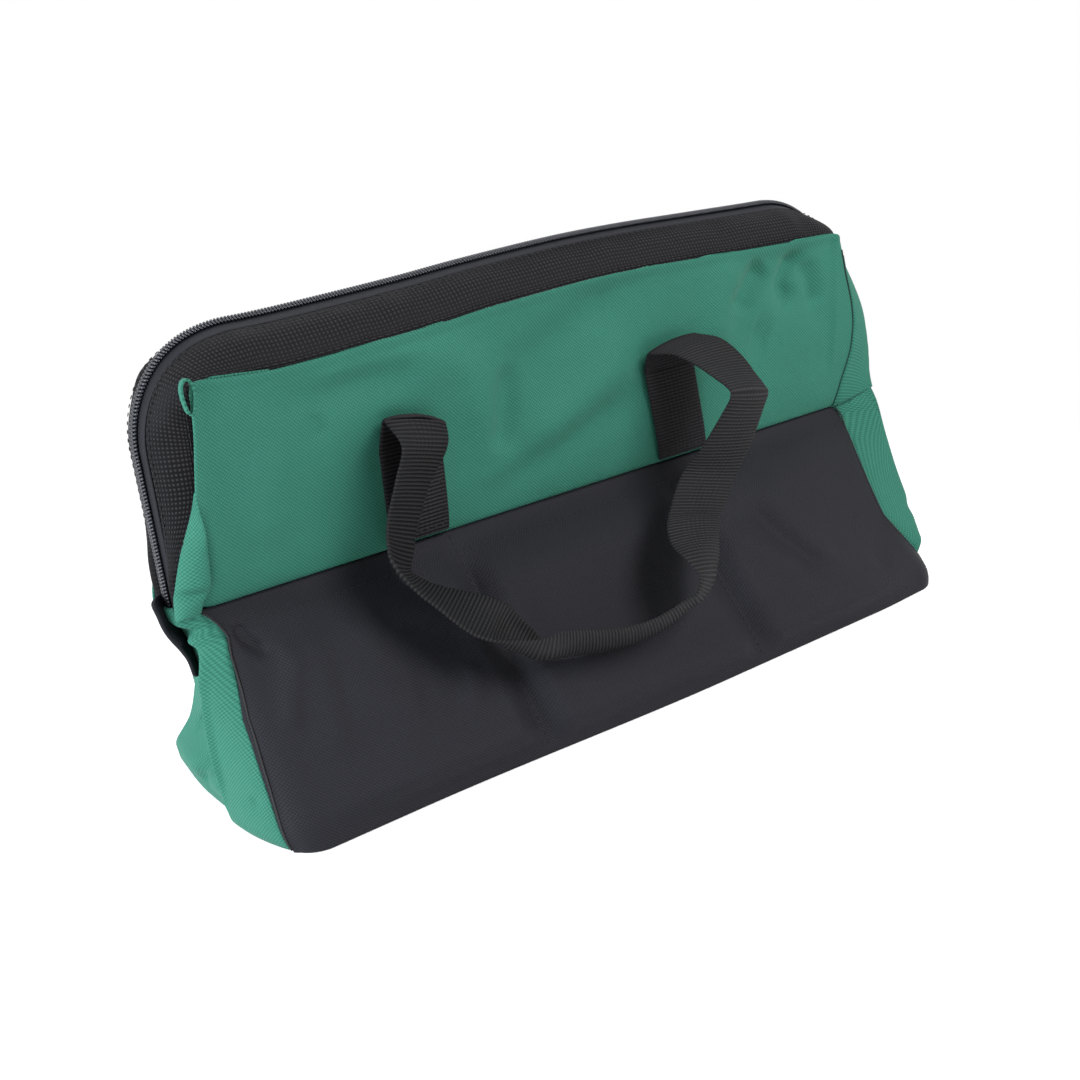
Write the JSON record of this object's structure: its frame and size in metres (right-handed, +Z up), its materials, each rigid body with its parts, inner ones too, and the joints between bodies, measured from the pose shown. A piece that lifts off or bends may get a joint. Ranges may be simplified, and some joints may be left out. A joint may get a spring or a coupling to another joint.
{
  "type": "wide-mouth tool bag",
  "caption": "Soft zip-top tool bag with a stiff base, swing-open steel-framed mouth, front pocket and two webbing handles.",
  "frame": {"origin": "middle of the underside of the base", "axes": "+Z up, +X along the bag's length, front pocket towards -Y"},
  "size_m": [0.4965, 0.213, 0.2503],
  "materials": {
    "green_cloth": "matte woven",
    "grey_cloth": "matte woven",
    "black_webbing": "matte ribbed",
    "zip_nylon": "satin",
    "frame_steel": "drawn",
    "board_plastic": "satin",
    "slider_metal": "satin"
  },
  "bodies": {
    "bag": {"base_panel": "grey_cloth", "base_board": "board_plastic", "front_lower_panel": "grey_cloth", "front_pocket": "grey_cloth", "rear_lower_panel": "grey_cloth", "left_lower_gusset": "green_cloth", "right_lower_gusset": "green_cloth", "left_zip_tab": "black_webbing", "right_zip_tab": "black_webbing"},
    "front_frame": {"front_frame_rod": "frame_steel", "front_frame_sleeve": "black_webbing", "front_upper_panel": "green_cloth", "front_left_gusset": "green_cloth", "front_right_gusset": "green_cloth", "front_zip_tape": "black_webbing", "front_zip_coil": "zip_nylon", "front_handle_left_end": "black_webbing", "front_handle_right_end": "black_webbing"},
    "front_handle": {"front_handle_grip": "black_webbing"},
    "rear_frame": {"rear_frame_rod": "frame_steel", "rear_frame_sleeve": "black_webbing", "rear_upper_panel": "green_cloth", "rear_left_gusset": "green_cloth", "rear_right_gusset": "green_cloth", "rear_zip_tape": "black_webbing", "rear_zip_coil": "zip_nylon", "rear_handle_left_end": "black_webbing", "rear_handle_right_end": "black_webbing"},
    "rear_handle": {"rear_handle_grip": "black_webbing"},
    "slider": {"zip_slider": "slider_metal"},
    "pull": {"zip_pull": "slider_metal"}
  },
  "joints": [
    {"name": "front_frame_open", "type": "hinge", "parent": "bag", "child": "front_frame", "pos_m": [0, -0.01, 0.11], "axis": [1, 0, 0], "range_deg": [0, 60], "deforming": ["front_handle_grip"]},
    {"name": "rear_frame_open", "type": "hinge", "parent": "bag", "child": "rear_frame", "pos_m": [0, 0.01, 0.11], "axis": [-1, 0, 0], "range_deg": [0, 60], "deforming": ["rear_handle_grip"]},
    {"name": "front_handle_lift", "type": "hinge", "parent": "front_frame", "child": "front_handle", "pos_m": [0, -0.0291, 0.1768], "axis": [-1, 0, 0], "range_deg": [0, 150]},
    {"name": "rear_handle_lift", "type": "hinge", "parent": "rear_frame", "child": "rear_handle", "pos_m": [0, 0.0291, 0.1768], "axis": [1, 0, 0], "range_deg": [0, 150]},
    {"name": "slider_slide", "type": "slide", "parent": "front_frame", "child": "slider", "axis": [0, 0, 1], "range_m": [0, 0.055]},
    {"name": "pull_swing", "type": "hinge", "parent": "slider", "child": "pull", "pos_m": [0.2435, 0, 0.123], "axis": [0, -1, 0], "range_deg": [0, 170]}
  ]
}
